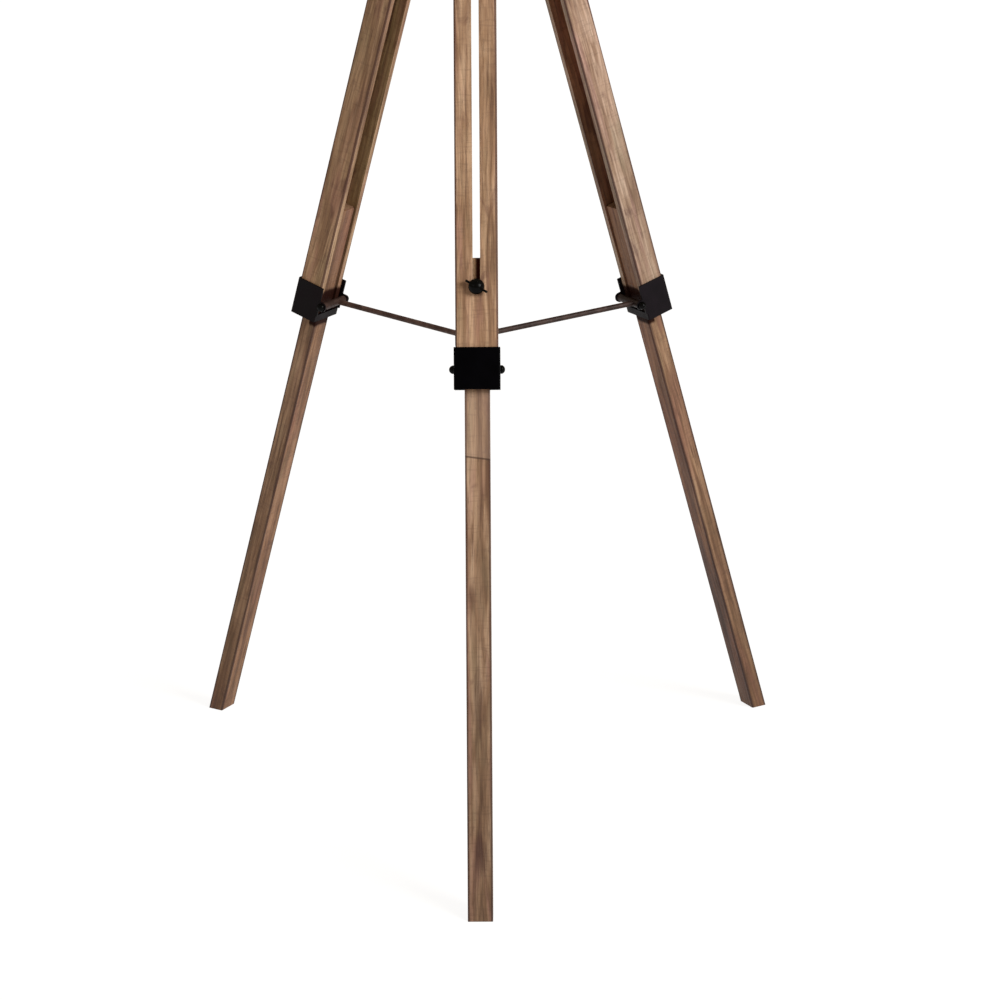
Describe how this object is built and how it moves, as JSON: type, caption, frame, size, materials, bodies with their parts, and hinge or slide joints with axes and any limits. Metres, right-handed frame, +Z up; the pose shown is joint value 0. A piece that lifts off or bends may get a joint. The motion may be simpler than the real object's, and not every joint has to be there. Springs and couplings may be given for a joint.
{
  "type": "adjustable arm floor lamp",
  "caption": "Wooden tripod floor lamp with telescoping grooved legs, a folding rod spreader and a tilting metal arm with a bell shade.",
  "frame": {"origin": "centre of the footprint's bounding box, on the floor", "axes": "+Z up; the front leg and the arm point to -Y; +X to the right seen from the front"},
  "size_m": [0.6622, 0.5738, 1.3974],
  "materials": {
    "wood": "weathered grey-brown stain, satin",
    "black_metal": "black powder coat",
    "shade_metal": "black outside, white enamel inside",
    "bronze_rod": "dark bronze plating",
    "steel": "zinc plated",
    "brass": "plain",
    "porcelain": "glazed",
    "nylon": "natural nylon",
    "glass": "opal"
  },
  "bodies": {
    "head": {"tripod_head": "black_metal", "leg_brackets": "black_metal", "bracket_screws": "steel", "leg_hinge_bolts": "black_metal", "leg_hinge_nuts": "black_metal", "hinge_washers": "nylon", "cable_gland": "black_metal", "gland_nut": "black_metal", "stem_socket": "black_metal", "socket_screws": "steel"},
    "leg_front": {"upper_leg_front": "wood", "collar_front": "black_metal", "collar_bolt_front": "black_metal", "collar_nut_front": "black_metal"},
    "slider_front": {"lower_leg_front": "wood", "lock_bolt_front": "black_metal", "lock_washer_front": "black_metal"},
    "wing_front": {"wing_nut_front": "black_metal"},
    "spreader_front": {"spreader_arm_front": "bronze_rod"},
    "leg_left": {"upper_leg_left": "wood", "collar_left": "black_metal", "collar_bolt_left": "black_metal", "collar_nut_left": "black_metal"},
    "slider_left": {"lower_leg_left": "wood", "lock_bolt_left": "black_metal", "lock_washer_left": "black_metal"},
    "wing_left": {"wing_nut_left": "black_metal"},
    "spreader_left": {"spreader_arm_left": "bronze_rod"},
    "leg_right": {"upper_leg_right": "wood", "collar_right": "black_metal", "collar_bolt_right": "black_metal", "collar_nut_right": "black_metal"},
    "slider_right": {"lower_leg_right": "wood", "lock_bolt_right": "black_metal", "lock_washer_right": "black_metal"},
    "wing_right": {"wing_nut_right": "black_metal"},
    "spreader_right": {"spreader_arm_right": "bronze_rod"},
    "spreader_middle": {"spreader_hub": "black_metal"},
    "thumbscrew": {"stem_thumbscrew": "black_metal"},
    "stem": {"stem_tube": "black_metal", "stem_knuckle": "black_metal"},
    "arm": {"arm_knuckle": "black_metal", "arm_pivot_bolt": "black_metal", "arm_tube": "black_metal", "shade_fork": "black_metal", "shade_pivot_bolt": "black_metal"},
    "lower_knob": {"arm_knob": "black_metal"},
    "upper_knob": {"shade_knob": "black_metal"},
    "shade": {"shade_knuckle": "black_metal", "socket_cap": "black_metal", "socket_nipple": "steel", "lampholder": "porcelain", "screw_shell": "brass", "centre_contact": "brass", "shade": "shade_metal", "shade_screws": "steel", "bulb_glass": "glass", "bulb_base": "steel"},
    "switch": {"switch_knob": "black_metal"}
  },
  "joints": [
    {"name": "fold_front", "type": "hinge", "parent": "head", "child": "leg_front", "pos_m": [0, 0.04084, 1.03835], "axis": [1, 0, 0], "range_deg": [0, 12.2]},
    {"name": "fold_left", "type": "hinge", "parent": "head", "child": "leg_left", "pos_m": [-0.04142, 0.11257, 1.03835], "axis": [-0.5, -0.866, 0], "range_deg": [0, 12.2]},
    {"name": "fold_right", "type": "hinge", "parent": "head", "child": "leg_right", "pos_m": [0.04142, 0.11257, 1.03835], "axis": [-0.5, 0.866, 0], "range_deg": [0, 12.2]},
    {"name": "spread_front", "type": "hinge", "parent": "leg_front", "child": "spreader_front", "pos_m": [0, -0.10006, 0.51354], "axis": [-1, 0, 0], "range_deg": [0, 75.99]},
    {"name": "spread_left", "type": "hinge", "parent": "leg_left", "child": "spreader_left", "pos_m": [-0.16343, 0.18301, 0.51354], "axis": [0.5, 0.866, 0], "range_deg": [0, 75.99]},
    {"name": "spread_right", "type": "hinge", "parent": "leg_right", "child": "spreader_right", "pos_m": [0.16343, 0.18301, 0.51354], "axis": [0.5, -0.866, 0], "range_deg": [0, 75.99]},
    {"name": "hub_drop", "type": "slide", "parent": "head", "child": "spreader_middle", "axis": [0, 0, -1], "range_m": [0, 0.15936]},
    {"name": "extend_front", "type": "slide", "parent": "leg_front", "child": "slider_front", "axis": [0, 0.2957, 0.9553], "range_m": [0, 0.35]},
    {"name": "lock_front", "type": "hinge", "parent": "slider_front", "child": "wing_front", "pos_m": [0, -0.11031, 0.60046], "axis": [0, -0.9553, 0.2957], "range_deg": [0, 270]},
    {"name": "extend_left", "type": "slide", "parent": "leg_left", "child": "slider_left", "axis": [0.2561, -0.1479, 0.9553], "range_m": [0, 0.35]},
    {"name": "lock_left", "type": "hinge", "parent": "slider_left", "child": "wing_left", "pos_m": [-0.17231, 0.18814, 0.60046], "axis": [-0.8273, 0.4776, 0.2957], "range_deg": [0, 270]},
    {"name": "extend_right", "type": "slide", "parent": "leg_right", "child": "slider_right", "axis": [-0.2561, -0.1479, 0.9553], "range_m": [0, 0.35]},
    {"name": "lock_right", "type": "hinge", "parent": "slider_right", "child": "wing_right", "pos_m": [0.17231, 0.18814, 0.60046], "axis": [0.8273, 0.4776, 0.2957], "range_deg": [0, 270]},
    {"name": "stem_swivel", "type": "hinge", "parent": "head", "child": "stem", "pos_m": [0, 0.08866, 1.08935], "axis": [0, 0, 1], "range_deg": [-170, 170]},
    {"name": "stem_clamp", "type": "hinge", "parent": "head", "child": "thumbscrew", "pos_m": [0.018, 0.08866, 1.09335], "axis": [1, 0, 0], "range_deg": [0, 270]},
    {"name": "arm_tilt", "type": "hinge", "parent": "stem", "child": "arm", "pos_m": [0, 0.08866, 1.21335], "axis": [-1, 0, 0], "range_deg": [-40, 40]},
    {"name": "arm_clamp", "type": "hinge", "parent": "arm", "child": "lower_knob", "pos_m": [0.012, 0.08866, 1.21335], "axis": [1, 0, 0], "range_deg": [0, 270]},
    {"name": "shade_tilt", "type": "hinge", "parent": "arm", "child": "shade", "pos_m": [0, -0.15709, 1.38542], "axis": [-1, 0, 0], "range_deg": [-10, 75]},
    {"name": "shade_clamp", "type": "hinge", "parent": "arm", "child": "upper_knob", "pos_m": [0.012, -0.15709, 1.38542], "axis": [1, 0, 0], "range_deg": [0, 270]},
    {"name": "switch_turn", "type": "hinge", "parent": "shade", "child": "switch", "pos_m": [0.03, -0.15709, 1.33142], "axis": [1, 0, 0], "continuous": true}
  ],
  "couplings": [
    {"joint": "fold_left", "follows": "fold_front", "ratio": 1},
    {"joint": "fold_right", "follows": "fold_front", "ratio": 1},
    {"joint": "spread_front", "follows": "fold_front", "ratio": 6.2127},
    {"joint": "spread_left", "follows": "fold_front", "ratio": 6.2127},
    {"joint": "spread_right", "follows": "fold_front", "ratio": 6.2127},
    {"joint": "hub_drop", "follows": "fold_front", "m_per_rad": 0.74608}
  ]
}
